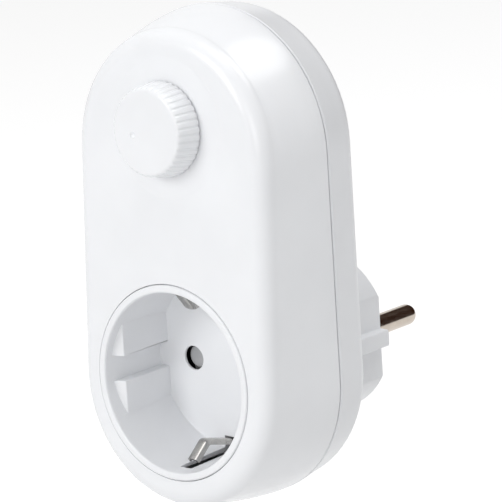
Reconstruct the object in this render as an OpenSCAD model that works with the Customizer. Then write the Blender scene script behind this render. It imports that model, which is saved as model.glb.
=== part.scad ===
// Plug-in rotary dimmer adaptor: an oval two-shell body with an earthed socket and a
// control knob on its leaning front, and an earthed plug on its back.
// X is to the right seen from the front, +Y points into the wall, +Z is up.
// The origin is the centre of the plug's end face, between the two pins.

/* [Body] */
// Width of the body at the parting line
body_w = 60; // [54:0.5:72]
// Height of the body at the parting line
body_h = 111; // [104:1:134]
// Depth of the body from its front to its back, at the height of the socket
body_depth = 33; // [32:0.5:40]
// Height of the oval's centre above the plug and socket axis
body_rise = 25; // [25:0.5:30]
// Angle by which the front face leans back at the top
face_lean = 3.5; // [0:0.5:4]
// Depth of the front shell from its front to the parting line
front_shell_depth = 21.5; // [20:0.5:23]
// Wall thickness of both shells
wall = 2.3; // [1.8:0.1:2.6]
// How far the sides of the front shell draw in towards its front
front_inset = 2.4; // [1.5:0.1:4.4]
// Radius of the front edge
front_edge_r = 4; // [1.5:0.1:4.2]
// How far the sides of the rear shell draw in towards its back
rear_inset = 1; // [0:0.1:1.5]
// Radius of the back edge
rear_edge_r = 4.5; // [3:0.1:5]
// Width of the shadow line between the two shells
seam_gap = 0.3; // [0.2:0.05:0.5]

/* [Plug] */
// Length of the plug in front of the body's back
plug_len = 19; // [18:0.5:22]
// Radius of the round part of the plug
plug_r = 18.6; // [18.3:0.1:18.8]
// Distance of the plug's side flats from its axis
plug_flat = 16.2; // [16:0.1:16.6]
// Width of the guide ridge on each side flat
ridge_w = 3.8; // [3:0.1:5]
// Radius of a contact pin
pin_r = 2.4; // [2:0.05:2.4]
// Length of a contact pin beyond the plug's end face
pin_len = 19; // [17:0.5:20]
// Distance between the pin axes, and between the socket's holes
pin_pitch = 19; // [18.8:0.1:19.2]

/* [Socket] */
// Outer radius of the visible ring around the socket
ring_r = 21.8; // [21.7:0.1:22.4]
// Radius of the recess at its mouth
recess_mouth_r = 20.1; // [19.8:0.1:20.3]
// Radius of the recess at its floor
recess_floor_r = 19.6; // [19.3:0.1:19.8]
// Depth of the recess
recess_depth = 17.5; // [17:0.25:18]
// Thickness of the recess floor
floor_t = 2.6; // [2.2:0.1:3]
// Distance of the guide blocks from the socket axis
block_x = 17.1; // [16.8:0.1:17.4]
// Depth at which the guide blocks start
block_start = 3.2; // [2:0.1:6]
// Width of the channel between the two blocks of a side
channel_w = 5.6; // [4.5:0.1:6.5]
// Radius of a pin hole in the recess floor
hole_r = 2.85; // [2.6:0.05:2.9]

/* [Knob] */
// Height of the knob axis above the socket axis, along the front face
knob_rise = 56.5; // [52:0.5:60]
// Radius of the knob at its base
knob_r = 10.6; // [9:0.1:12]
// Radius of the knob at its face
knob_face_r = 9.7; // [8.5:0.1:11]
// Height of the knob
knob_h = 5.9; // [5:0.1:9]
// Number of flutes around the knob
knob_flutes = 40; // [24:1:48]
// Radius of the knob's shaft
shaft_r = 3; // [2.5:0.1:3]
// Outer radius of the raised mound under the knob
mound_r = 15.5; // [15:0.5:18]
// Radius of the flat top of the mound
mound_top_r = 11.5; // [11:0.1:14]
// Height of the mound
mound_h = 0.5; // [0.3:0.1:2]
// Gap between the knob and the mound
knob_gap = 0.3; // [0.3:0.1:1]

/* [Circuit] */
// Width of the circuit board
board_w = 45; // [42:0.5:46]
// Thickness of the circuit board
board_t = 1.6; // [1.2:0.1:1.6]
// Depth of the board's component-free front side behind the front face
board_depth = 14.5; // [14.5:0.25:15]
// Radius of the insulated wires
wire_r = 0.9; // [0.6:0.1:0.9]

/* [Hidden] */
$fn = 48;
slice = 0.01;            // thickness of one slice of a blended shell
eps = 0.5;               // how far a cut runs past the face it opens
overcut = 3;             // how far a straight cut starts in front of the leaning face
reach = 100;             // larger than the whole part, for a cut that takes all behind a plane
merge = 0.2;             // overlap of two shapes of one solid
weld_t = 1;              // overlap of two shapes of one moulded shell
run_gap = 0.05;          // radial clearance of a turning or sliding fit
free_gap = 0.3;          // clearance between bodies that pass each other
press_gap = 0.02;        // radial clearance of a pushed-on fit

// Planes along Y
rear_y = -plug_len;
face_y = rear_y - body_depth;
joint_y = face_y + front_shell_depth;
floor_y = face_y + recess_depth;
floor_back_y = floor_y + floor_t;
half_pitch = pin_pitch / 2;
end_rise = (body_h - body_w) / 2;
bottom_axis_z = body_rise - end_rise;
top_axis_z = body_rise + end_rise;

// Shells
corner_ease = 0.3;       // extra wall where the hollow's back edge is cut off
corner_run = 1.7;        // depth over which the front hollow's edge is cut off
draw_power = 1.6;        // how fast the front shell's sides draw in towards the front
SIDE_DEPTHS = [7, 11, 15];
lip_play = 0.1;
mound_root = 0.4;        // how deep the mound's cone starts in the wall
mound_spread = 0.9;      // how much wider the cone is at its root
lip_t = 1;               // thickness of the rear shell's locating lip
lip_inset = 1.3;         // distance of the lip from the outside
lip_h = 1.8;             // how far the lip stands into the front shell
boss_edge = 6;           // distance of a case screw's axis from the outside
boss_reach = body_w / 2 - boss_edge;
boss_r = 2.3;
screw_r = 1.1;
pilot_r = 1.1;
head_r = 2.4;
head_h = 1.8;
well_r = 2.6;
well_wall = 1.1;
well_depth = 7.5;
well_floor = 2;
boss_end_y = rear_y - well_depth - well_floor - 0.1;
screw_play = 0.2;        // radial clearance of a screw in a through hole
drive_depth = 0.8;       // cross recess of a screw head
drive_reach = 1.4;
drive_half = 0.3;
head_chamfer = 0.5;
tip_len = 1;
tip_r = 0.3;
case_screw_len = 15;
pilot_end_y = rear_y - well_depth - case_screw_len - 0.5;
SCREW_SPOTS = [for (sx = [-1, 1], end = [-1, 1])
    [sx * boss_reach * cos(45), (end > 0 ? top_axis_z : bottom_axis_z) + end * boss_reach * sin(45)]];

// Plug
plug_wall = 1.6;
plug_bore_r = plug_r - 2.6;
plug_bore_flat = plug_flat - plug_wall;
plug_floor = 2.8;
collar_r = 3.4;
land_r = pin_r + 0.3;    // radius of a pin where it passes through the floor of the plug
shank_r = pin_r - 0.3;   // radius of a pin behind its collar
collar_t = 2;
retainer_t = 3;
retainer_x = 13.6;
retainer_z = 6;
retainer_y = -plug_floor - collar_t - retainer_t;
retainer_boss_r = 2.6;
pilot_into_floor = 0.8;  // how far the retainer screw's hole runs into the plug's floor
live_tail = 10.5;

// Socket insert
cup_r = recess_mouth_r + 1.1;
seat_gap = 0.15;         // clearance between the insert and the front shell
rim_proud = 0.3;
rim_t = 1.6;
rim_chamfer = 0.5;
skirt_wall = 1.35;
skirt_depth = 10;
lug_t = 1.5;
lug_w = 5;
lug_reach = 1.2;         // how far a lug stands out behind the front shell's collar
lug_y = face_y + skirt_depth + 0.1;
earth_slot_w = 5;
earth_slot_start = 2;
earth_slot_r = 20.5;
pilot_skin = 0.8;        // floor left in front of a screw's hole
post_r = 1.6;
post_play = 0.1;
carrier_t = 2.5;
carrier_gap = 2.1;       // space for the shutter between the floor and the carrier
carrier_y = floor_back_y + carrier_gap;
carrier_back_y = carrier_y + carrier_t;
carrier_r = cup_r - 1;
cup_skirt_r = cup_r - 2.2;
carrier_screw_at = 11;
carrier_screw_gap = 1;   // distance of a carrier screw's tip from the front of the recess floor
carrier_boss_r = 2.1;
tower_r = 4.7;
tower_bore_r = 3.9;
tower_end_y = -15.9;

// Contacts and earth strips
sleeve_r = 3.5;
sleeve_bore_r = 2.6;
sleeve_y = carrier_back_y + 0.3;
sleeve_len = 10.4;
sleeve_end_t = 1;
sleeve_slot_w = 0.7;
sleeve_slot_len = 7;
stub_r = 2;              // radius of the neutral contact's rivet to its pin
tag_len = 2.6;
tag_w = 3;
tag_t = 0.8;
tag_end_y = sleeve_y + sleeve_len + tag_len;
strip_w = 3.8;
strip_t = 0.8;
strip_z = 17.9;          // height of the straight run of an earth strip
earth_slot_z = strip_z - 1.1;
clip_tip = [face_y + 3.2, 19.7];
clip_apex = [face_y + 6.2, 15];
bend_run = 0.6;          // half the length of the bend behind the clip
clip_root = [floor_y - bend_run, 17.7];
strip_end_y = -2.6;
strip_tip = [-1.3, 16.8];
strip_play = 0.1;        // clearance of a strip in its slots
slot_end_y = -0.9;       // front wall of the plug's strip grooves
strip_floor_z = strip_z - strip_t / 2 - strip_play;
strip_top_z = strip_z + strip_t / 2 + strip_play;
groove_x = strip_w / 2 + 2 * strip_play;

// Shutter
shutter_t = 0.9;
shutter_play = 0.2;      // clearance of the hub behind the recess floor
shutter_hub_r = 2.4;
shutter_r = 13;
shutter_lobe = 20;       // half angle of one lobe
spring_wire_r = 0.15;
spring_r = 2.95;
spring_turns = 1.6;
spring_pitch = 0.34;
spring_lift = 0.18;      // clearance of the spring's first turn behind the recess floor
spring_steps = 40;
wire_sides = 8;          // sides of the section of a swept wire

// Knob and potentiometer, in the leaning frame: depth behind the front face
knob_base_d = -mound_h - knob_gap;
knob_top_d = knob_base_d - knob_h;
knob_face_t = 1.6;
knob_chamfer = 0.6;
knob_wall = 1.8;
hub_r = 5;
flute_r = 0.4;
dimple_r = 0.9;
dimple_at = [-3.8, -1];
pot_r = 8.25;
pot_front_d = 6;
bushing_r = 3.6;
bushing_front_d = 0.6;
bushing_clear = 0.3;
pot_wall = 1.1;
rotor_r = 6.2;
rotor_t = 1;
rotor_d = pot_front_d + pot_wall + 0.6;
shaft_end_gap = 0.1;
shaft_tail = 0.8;        // how far the shaft runs past the rotor
wiper_w = 1.2;
wiper_r = 5;             // distance of the wiper from the knob axis
pot_tag_pitch = 5;
pot_tag_w = 1.2;
pot_tag_t = 1;
pot_tag_len = 2.4;
track_gap = 0.1;         // clearance of the track in the housing
track_hole = 0.4;        // clearance of the track around the shaft
track_t = 0.8;

// Board
board_inset = 5.2;       // distance of the board's edge from the outline of the body
board_pilot = 7;         // depth of a board screw's hole in its boss
board_screw_len = 7.5;
board_low = 26;          // height of the board's lower edge along the face
board_high = 65;
board_back_d = board_depth + board_t;
board_screw_at = [19, 30];
board_boss_r = 2.4;

module cyl_y(y0, y1, r, r_end = -1) {
    translate([0, y0, 0]) rotate([-90, 0, 0])
        cylinder(h = y1 - y0, r1 = r, r2 = r_end < 0 ? r : r_end);
}

module block(x0, x1, y0, y1, z0, z1) {
    translate([x0, y0, z0]) cube([x1 - x0, y1 - y0, z1 - z0]);
}

// Places children in the frame of the leaning front face: Y is depth behind it
module on_face() {
    translate([0, face_y, 0]) rotate([-face_lean, 0, 0]) children();
}

module at_knob() {
    on_face() translate([0, 0, knob_rise]) children();
}

module oval(inset) {
    r = body_w / 2 - inset;
    for (side = [-1, 1])
        translate([0, side * end_rise]) circle(r = r);
    translate([-r, -end_rise]) square([2 * r, 2 * end_rise]);
}

module slab(y0, y1, inset) {
    translate([0, y1, body_rise]) rotate([90, 0, 0]) linear_extrude(y1 - y0) oval(inset);
}

module front_slice(depth, inset) {
    on_face() slab(depth, depth + slice, inset);
}

function front_inset_at(depth) =
    front_inset * pow(1 - (depth - front_edge_r) / (front_shell_depth - front_edge_r), draw_power);

module front_solid() {
    hull() {
        for (a = [0 : 22.5 : 90])
            front_slice(front_edge_r * (1 - cos(a)), front_inset + front_edge_r * (1 - sin(a)));
        for (depth = SIDE_DEPTHS)
            front_slice(depth, front_inset_at(depth));
        slab(joint_y - seam_gap / 2 - slice, joint_y - seam_gap / 2, 0);
    }
}

module front_cavity() {
    hull() {
        front_slice(wall, front_inset + front_edge_r + corner_ease);
        front_slice(wall + corner_run, front_inset + wall - corner_ease);
        for (depth = SIDE_DEPTHS)
            front_slice(depth, front_inset_at(depth) + wall);
        slab(joint_y + eps, joint_y + eps + slice, wall);
    }
}

module rear_solid() {
    hull() {
        slab(joint_y + seam_gap / 2, joint_y + seam_gap / 2 + slice, 0);
        for (a = [0 : 22.5 : 90])
            slab(rear_y - rear_edge_r * (1 - sin(a)) - slice, rear_y - rear_edge_r * (1 - sin(a)),
                 rear_inset + rear_edge_r * (1 - cos(a)));
    }
}

module rear_cavity() {
    hull() {
        slab(joint_y - lip_h - eps, joint_y - lip_h - eps + slice, wall);
        slab(rear_y - rear_edge_r - slice, rear_y - rear_edge_r, rear_inset + wall);
        slab(rear_y - wall - slice, rear_y - wall, rear_inset + rear_edge_r + corner_ease);
    }
}

module at_screws() {
    for (spot = SCREW_SPOTS)
        translate([spot[0], 0, spot[1]]) children();
}

module board_outline() {
    intersection() {
        block(-board_w / 2, board_w / 2, board_depth, board_back_d, board_low, board_high);
        slab(board_depth - eps, board_back_d + eps, board_inset);
    }
}

module at_board_screws() {
    for (side = [-1, 1])
        translate([side * board_screw_at[0], 0, board_screw_at[1]]) children();
}

module front_shell() color([0.95, 0.96, 0.97]) {
    difference() {
        union() {
            difference() {
                front_solid();
                front_cavity();
                slab(joint_y - lip_h - seam_gap, joint_y + eps, lip_inset - lip_play);
            }
            at_knob() cyl_y(-mound_h, mound_root, mound_top_r, mound_r + mound_spread);
            intersection() {
                front_solid();
                cyl_y(face_y - overcut, face_y + skirt_depth, cup_r + seat_gap + skirt_wall);
            }
            intersection() {
                union() {
                    at_screws() cyl_y(face_y, joint_y - eps, boss_r);
                    on_face() at_board_screws() cyl_y(wall / 2, board_depth, board_boss_r);
                }
                front_solid();
            }
            at_screws() cyl_y(joint_y - weld_t, boss_end_y, boss_r);
        }
        cyl_y(face_y - overcut, joint_y + eps, cup_r + seat_gap);
        on_face() cyl_y(-eps, rim_t + seat_gap, ring_r + seat_gap);
        at_screws() cyl_y(pilot_end_y, boss_end_y + eps, pilot_r);
        on_face() at_board_screws() cyl_y(board_depth - board_pilot, board_depth + eps, pilot_r);
        at_knob() cyl_y(-mound_h - eps, wall + eps, bushing_r + bushing_clear);
    }
}

module plug_body() {
    intersection() {
        cyl_y(rear_y - wall, 0, plug_r);
        union() {
            block(-plug_flat, plug_flat, rear_y - wall - eps, eps, -plug_r, plug_r);
            block(-plug_r, plug_r, rear_y - wall - eps, eps, -ridge_w / 2, ridge_w / 2);
        }
    }
}

module rear_shell() color([0.93, 0.94, 0.96]) {
    difference() {
        union() {
            difference() {
                rear_solid();
                rear_cavity();
            }
            difference() {
                slab(joint_y - lip_h, joint_y + weld_t, lip_inset);
                slab(joint_y - lip_h - eps, joint_y + weld_t + eps, lip_inset + lip_t);
            }
            plug_body();
            intersection() {
                at_screws() cyl_y(rear_y - well_depth - well_floor, rear_y, well_r + well_wall);
                rear_solid();
            }
        }
        difference() {
            intersection() {
                cyl_y(rear_y - wall - eps, -plug_floor, plug_bore_r);
                block(-plug_bore_flat, plug_bore_flat, rear_y - wall - 2 * eps, 0, -plug_r, plug_r);
            }
            cyl_y(-plug_floor - collar_t, -plug_floor + eps, retainer_boss_r);
        }
        cyl_y(-plug_floor - collar_t - eps, -plug_floor + pilot_into_floor, pilot_r);
        for (side = [-1, 1]) {
            translate([side * half_pitch, 0, 0]) cyl_y(-plug_floor - eps, eps, land_r + run_gap);
            scale_z(side) {
                block(-groove_x, groove_x, rear_y - wall - eps, rear_y + eps, strip_floor_z, strip_top_z);
                block(-groove_x, groove_x, rear_y, slot_end_y, strip_floor_z, plug_r + eps);
                block(-groove_x, groove_x, -plug_floor, slot_end_y, strip_tip[1] - strip_t, strip_top_z);
            }
        }
        at_screws() {
            cyl_y(rear_y - well_depth, rear_y + eps, well_r);
            cyl_y(rear_y - well_depth - well_floor - eps, rear_y, screw_r + screw_play);
        }
    }
}

// Mirrors the children to the bottom when side is -1
module scale_z(side) {
    mirror([0, 0, side < 0 ? 1 : 0]) children();
}

module guide_block(side) {
    difference() {
        block(side > 0 ? block_x : -cup_r, side > 0 ? cup_r : -block_x,
              face_y + block_start, floor_y + eps, -cup_r, cup_r);
        block(-cup_r - eps, cup_r + eps, face_y, floor_y + 2 * eps, -channel_w / 2, channel_w / 2);
    }
}

module socket_insert() color([0.91, 0.92, 0.94]) {
    difference() {
        union() {
            intersection() {
                cyl_y(face_y - overcut, carrier_y, cup_r);
                on_face() block(-reach, reach, rim_t / 2, reach, -reach, reach);
            }
            on_face() rotate([90, 0, 0]) rotate_extrude()
                polygon([[0, -rim_t], [ring_r, -rim_t], [ring_r, rim_proud - rim_chamfer],
                         [ring_r - rim_chamfer, rim_proud], [0, rim_proud]]);
            for (side = [-1, 1])
                rotate([0, side > 0 ? 0 : 180, 0])
                    block(cup_r - weld_t, cup_r + lug_reach, lug_y, lug_y + lug_t, -lug_w / 2, lug_w / 2);
        }
        difference() {
            cyl_y(face_y - overcut, floor_y, recess_mouth_r, recess_floor_r);
            for (side = [-1, 1])
                guide_block(side);
        }
        difference() {
            cyl_y(floor_back_y, carrier_y + eps, cup_skirt_r);
            cyl_y(floor_back_y - eps, carrier_y - post_play, post_r);
            for (side = [-1, 1])
                translate([side * carrier_screw_at, 0, -side * carrier_screw_at])
                    cyl_y(floor_back_y - eps, carrier_y, carrier_boss_r);
        }
        for (side = [-1, 1]) {
            translate([side * half_pitch, 0, 0]) cyl_y(floor_y - eps, floor_back_y + eps, hole_r);
            translate([side * carrier_screw_at, 0, -side * carrier_screw_at])
                cyl_y(floor_y + pilot_skin, carrier_y + eps, pilot_r);
            scale_z(side)
                block(-earth_slot_w / 2, earth_slot_w / 2, face_y + earth_slot_start,
                      floor_back_y + eps, earth_slot_z, earth_slot_r);
        }
    }
}

module shutter() color([0.62, 0.63, 0.65]) {
    plate_y = carrier_y - free_gap - shutter_t;
    difference() {
        union() {
            cyl_y(floor_back_y + shutter_play, carrier_y - free_gap, shutter_hub_r);
            intersection() {
                cyl_y(plate_y, plate_y + shutter_t, shutter_r);
                translate([0, plate_y + shutter_t, 0]) rotate([90, 0, 0]) linear_extrude(shutter_t)
                    for (side = [-1, 1])
                        polygon([[0, 0], 2 * side * shutter_r * [cos(shutter_lobe), sin(shutter_lobe)],
                                 2 * side * shutter_r * [cos(shutter_lobe), -sin(shutter_lobe)]]);
            }
        }
        cyl_y(floor_back_y - eps, carrier_y + eps, post_r + run_gap);
    }
}

// A ring of points square to dir; across is any direction that dir never takes
function ring_at(p, dir, r, sides, across) =
    let (d = dir / norm(dir), u = cross(d, across) / norm(cross(d, across)), v = cross(d, u))
    [for (i = [0 : sides - 1]) p + r * (cos(360 * i / sides) * u + sin(360 * i / sides) * v)];

// Points of a smooth curve through the points of a route
function smooth(route, steps) = concat(
    [for (k = [0 : len(route) - 2], i = [0 : steps - 1])
        let (t = i / steps, a = route[max(k - 1, 0)], b = route[k], c = route[k + 1],
             d = route[min(k + 2, len(route) - 1)])
        b + t * (c - a) / 2 + t * t * (2 * a - 5 * b + 4 * c - d) / 2
          + t * t * t * (3 * b - a - 3 * c + d) / 2],
    [route[len(route) - 1]]);

// A wire of round section along a path
module swept_wire(path, r, sides, across) {
    last = len(path) - 1;
    rings = [for (k = [0 : last])
        ring_at(path[k], path[min(k + 1, last)] - path[max(k - 1, 0)], r, sides, across)];
    pts = [for (ring = rings, p = ring) p];
    polyhedron(points = pts, faces = concat(
        [[for (i = [0 : sides - 1]) i]],
        [for (k = [0 : last - 1], i = [0 : sides - 1])
            [k * sides + i, (k + 1) * sides + i,
             (k + 1) * sides + (i + 1) % sides, k * sides + (i + 1) % sides]],
        [[for (i = [sides - 1 : -1 : 0]) last * sides + i]]));
}

module shutter_spring() color([0.75, 0.75, 0.77]) {
    start_y = floor_back_y + spring_lift;
    swept_wire([for (k = [0 : spring_steps])
        let (turns = spring_turns * k / spring_steps)
        [spring_r * cos(360 * turns), start_y + spring_pitch * turns, spring_r * sin(360 * turns)]],
        spring_wire_r, wire_sides, [0, 1, 0]);
}

module contact_carrier() color([0.2, 0.2, 0.22]) {
    difference() {
        union() {
            cyl_y(carrier_y, carrier_back_y, carrier_r);
            for (side = [-1, 1])
                translate([side * half_pitch, 0, 0]) cyl_y(carrier_back_y - eps, tower_end_y, tower_r);
        }
        for (side = [-1, 1]) {
            translate([side * half_pitch, 0, 0]) {
                cyl_y(carrier_y - eps, carrier_back_y, hole_r + free_gap);
                cyl_y(carrier_back_y - merge, tower_end_y + eps, tower_bore_r);
            }
            translate([side * carrier_screw_at, 0, -side * carrier_screw_at])
                cyl_y(carrier_y - eps, carrier_back_y + eps, screw_r + screw_play);
            scale_z(side)
                block(-strip_w / 2 - free_gap, strip_w / 2 + free_gap, carrier_y - eps, carrier_back_y + eps,
                      strip_floor_z, carrier_r + eps);
        }
        block(-groove_x, groove_x, carrier_y - eps, carrier_y + strip_t + strip_play, -strip_z, strip_z);
        cyl_y(carrier_y - eps, carrier_y + free_gap, post_r + free_gap);
    }
}

// A cross-recess screw with its head seated at y_head; the shank runs towards -Y
module screw(y_head, length) {
    head_end = y_head + head_h;
    tip_y = y_head - length;
    difference() {
        cyl_y(y_head, head_end, head_r, head_r - head_chamfer);
        block(-drive_reach, drive_reach, head_end - drive_depth, head_end + eps, -drive_half, drive_half);
        block(-drive_half, drive_half, head_end - drive_depth, head_end + eps, -drive_reach, drive_reach);
    }
    cyl_y(tip_y + tip_len, y_head + merge, screw_r);
    cyl_y(tip_y, tip_y + tip_len, tip_r, screw_r);
}

module carrier_screws() color([0.8, 0.8, 0.82])
    for (side = [-1, 1])
        translate([side * carrier_screw_at, 0, -side * carrier_screw_at])
            screw(carrier_back_y, carrier_t + carrier_gap + floor_t - carrier_screw_gap);

module contact_sleeve() {
    difference() {
        cyl_y(sleeve_y, sleeve_y + sleeve_len, sleeve_r);
        cyl_y(sleeve_y - eps, sleeve_y + sleeve_len - sleeve_end_t, sleeve_bore_r);
        block(-sleeve_r - eps, sleeve_r + eps, sleeve_y - eps, sleeve_y + sleeve_slot_len,
              -sleeve_slot_w / 2, sleeve_slot_w / 2);
    }
}

module live_contact() color([0.85, 0.7, 0.35])
    translate([-half_pitch, 0, 0]) {
        contact_sleeve();
        block(-tag_w / 2, tag_w / 2, sleeve_y + sleeve_len - merge, tag_end_y, -tag_t / 2, tag_t / 2);
    }

module neutral_contact() color([0.85, 0.7, 0.35])
    translate([half_pitch, 0, 0]) {
        contact_sleeve();
        cyl_y(sleeve_y + sleeve_len - merge, tower_end_y + free_gap, stub_r);
    }

// One corner of a bent strip's outline, mitred where the strip bends
function bend_corner(route, k, side) =
    let (last = len(route) - 1, from = min(k, last - 1), to = max(k - 1, 0),
         after = (route[from + 1] - route[from]) / norm(route[from + 1] - route[from]),
         before = (route[to + 1] - route[to]) / norm(route[to + 1] - route[to]),
         along = (before + after) / norm(before + after))
    route[k] + side * strip_t / 2 / (along * after) * [-along[1], along[0]];

// A flat strip bent along a route of the YZ plane
module strip(route) {
    last = len(route) - 1;
    rotate([90, 0, 90]) linear_extrude(strip_w, center = true)
        polygon([for (k = [0 : last]) bend_corner(route, k, 1),
                 for (k = [last : -1 : 0]) bend_corner(route, k, -1)]);
}

module earth_strip() {
    strip([clip_tip, clip_apex, clip_root, [floor_y + bend_run, strip_z], [strip_end_y, strip_z], strip_tip]);
}

module earth_strip_top() color([0.8, 0.79, 0.77]) earth_strip();

module earth_strip_bottom() color([0.8, 0.79, 0.77]) mirror([0, 0, 1]) earth_strip();

module earth_link() color([0.8, 0.79, 0.77])
    block(-strip_w / 2, strip_w / 2, carrier_y, carrier_y + strip_t,
          -strip_z + strip_t / 2, strip_z - strip_t / 2);

module contact_pin(tail) {
    cyl_y(-tail, -plug_floor, shank_r);
    cyl_y(-plug_floor - collar_t / 2, 0, land_r);
    cyl_y(0, pin_len - pin_r, pin_r);
    translate([0, pin_len - pin_r, 0]) sphere(r = pin_r);
    cyl_y(-plug_floor - collar_t, -plug_floor, collar_r);
}

module live_pin() color([0.8, 0.78, 0.75])
    translate([-half_pitch, 0, 0]) contact_pin(live_tail);

module neutral_pin() color([0.8, 0.78, 0.75])
    translate([half_pitch, 0, 0]) contact_pin(-tower_end_y - free_gap);

module pin_retainer() color([0.9, 0.9, 0.88])
    difference() {
        block(-retainer_x, retainer_x, retainer_y, retainer_y + retainer_t, -retainer_z, retainer_z);
        for (side = [-1, 1])
            translate([side * half_pitch, 0, 0])
                cyl_y(retainer_y - eps, retainer_y + retainer_t + eps, shank_r + run_gap);
        cyl_y(retainer_y - eps, retainer_y + retainer_t + eps, screw_r + screw_play);
    }

module retainer_screw() color([0.8, 0.8, 0.82])
    mirror([0, 1, 0]) screw(-retainer_y, retainer_t + collar_t + pilot_into_floor - free_gap);

module knob() color([0.95, 0.95, 0.97])
    at_knob() difference() {
        rotate([90, 0, 0]) rotate_extrude()
            polygon([[0, -knob_base_d], [knob_r, -knob_base_d], [knob_face_r, -knob_top_d - knob_chamfer],
                     [knob_face_r - knob_chamfer, -knob_top_d], [0, -knob_top_d]]);
        difference() {
            cyl_y(knob_top_d + knob_face_t, knob_base_d + eps, knob_face_r - knob_wall);
            cyl_y(knob_top_d, knob_base_d, hub_r);
        }
        cyl_y(knob_top_d + knob_face_t, knob_base_d + eps, shaft_r + press_gap);
        for (k = [0 : knob_flutes - 1])
            rotate([0, 360 * k / knob_flutes, 0])
                translate([knob_r + flute_r / 3, knob_base_d + eps, 0])
                    rotate([90, 0, -atan2(knob_r - knob_face_r, knob_h)])
                        translate([0, 0, -eps]) cylinder(h = knob_h + 2 * eps, r = flute_r, $fn = 16);
        translate([dimple_at[0], knob_top_d - dimple_r / 2, dimple_at[1]]) sphere(r = dimple_r);
    }

module pot_shaft() color([0.85, 0.85, 0.8])
    at_knob() {
        cyl_y(knob_top_d + knob_face_t + shaft_end_gap, rotor_d + rotor_t + shaft_tail, shaft_r);
        cyl_y(rotor_d, rotor_d + rotor_t, rotor_r);
        block(-wiper_w / 2, wiper_w / 2, rotor_d + rotor_t / 2, board_depth - pot_wall - track_t - free_gap,
              wiper_r - wiper_w / 2, wiper_r + wiper_w / 2);
    }

module pot_housing() color([0.55, 0.56, 0.58])
    at_knob() difference() {
        union() {
            cyl_y(pot_front_d, board_depth, pot_r);
            cyl_y(bushing_front_d, pot_front_d + eps, bushing_r);
            for (x = pot_tag_pitch * [-1, 0, 1])
                block(x - pot_tag_w / 2, x + pot_tag_w / 2, board_depth - pot_tag_t, board_depth,
                      -pot_r - pot_tag_len, -pot_r + pot_tag_len);
        }
        cyl_y(pot_front_d + pot_wall, board_depth - pot_wall, pot_r - pot_wall);
        cyl_y(bushing_front_d - eps, pot_front_d + pot_wall + eps, shaft_r + run_gap);
    }

module pot_track() color([0.15, 0.12, 0.1])
    at_knob() difference() {
        cyl_y(board_depth - pot_wall - track_t, board_depth - pot_wall, pot_r - pot_wall - track_gap);
        cyl_y(board_depth - pot_wall - track_t - eps, board_depth - pot_wall + eps, shaft_r + track_hole);
    }

module circuit_board() color([0.76, 0.66, 0.4])
    difference() {
        on_face() difference() {
            board_outline();
            at_board_screws() cyl_y(board_depth - eps, board_back_d + eps, screw_r + screw_play);
        }
        at_screws() cyl_y(face_y, joint_y, boss_r + free_gap);
    }

module board_screws() color([0.8, 0.8, 0.82])
    on_face() at_board_screws() screw(board_back_d, board_screw_len);

// Parts on the back of the board, as X, depth and height along the face
triac_at = [12.5, 38.5];
triac_w = 10.2;
triac_h = 9;
triac_t = 4.4;
triac_tab_t = 1.3;
triac_tab_h = 6.3;
triac_hole_r = 1.8;
lead_pitch = 2.54;
lead_half = 0.4;
lead_w = 1.6;
lead_rise = 2.4;
sink_w = 19;
sink_h = 19;
sink_t = 1.5;
sink_low = 35.5;
sink_d = board_back_d + triac_t;
tab_hole_rise = 10.7;
sink_hole_r = 1.6;
bolt_r = 1.45;
bolt_head_r = 2.7;
bolt_head_t = 1.8;
nut_r = 3;
nut_t = 1.8;
thread_gap = 0.01;
nut_d = sink_d - triac_tab_t - 0.05;
choke_at = [-11.6, 41.8];
choke_r = 9.4;
choke_bore_r = 5;
choke_h = 7.4;
choke_lift = 1.1;
winding_t = 0.9;
cap_low = 55;
cap_right = -4;
cap_size = [15.5, 9, 7];
film_at = [-0.8, 44];
film_size = [3.2, 7, 7];
resistor_r = 1.15;
resistor_len = 6.4;
diac_r = 0.95;
diac_len = 4;
lead_r = 0.3;
lead_run = 1.5;          // length of a lead beyond the end of an axial part
AXIAL_X = [-5, 7.2];
AXIAL_LOW = [27.6, 30.4];
fuse_at = [10.5, 59.6];
fuse_len = 20;
fuse_r = 2.6;
fuse_d = board_back_d + 3.4;
fuse_cap_len = 5.2;
fuse_glass_r = fuse_r - 0.15;
fuse_glass_t = 0.55;
fuse_link_r = 0.12;
clip_half = 2;
clip_t = 0.5;
clip_seat = 0.1;         // thickness of the bridge under the cap
clip_mouth = 0.6;        // how far the clip's fingers close over the cap

module triac() color([0.14, 0.14, 0.15])
    on_face() {
        block(triac_at[0] - triac_w / 2, triac_at[0] + triac_w / 2, board_back_d + free_gap, sink_d,
              triac_at[1] - triac_h / 2, triac_at[1] + triac_h / 2);
        difference() {
            block(triac_at[0] - triac_w / 2, triac_at[0] + triac_w / 2, sink_d - triac_tab_t, sink_d,
                  triac_at[1] + triac_h / 2, triac_at[1] + triac_h / 2 + triac_tab_h);
            translate([triac_at[0], 0, sink_low + tab_hole_rise])
                cyl_y(sink_d - triac_tab_t - eps, sink_d + eps, triac_hole_r);
        }
        for (side = [-1, 0, 1])
            block(triac_at[0] + side * lead_pitch - lead_half, triac_at[0] + side * lead_pitch + lead_half,
                  board_back_d, board_back_d + lead_rise,
                  triac_at[1] - triac_h / 2 - lead_w, triac_at[1] - triac_h / 2);
    }

module heatsink() color([0.78, 0.79, 0.8])
    on_face() difference() {
        union() {
            block(triac_at[0] - sink_w / 2, triac_at[0] + sink_w / 2, sink_d, sink_d + sink_t,
                  sink_low, sink_low + sink_h);
            block(triac_at[0] + sink_w / 2 - sink_t, triac_at[0] + sink_w / 2, board_back_d,
                  sink_d + sink_t, sink_low, sink_low + sink_h);
        }
        translate([triac_at[0], 0, sink_low + tab_hole_rise])
            cyl_y(sink_d - eps, sink_d + sink_t + eps, sink_hole_r);
    }

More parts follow.
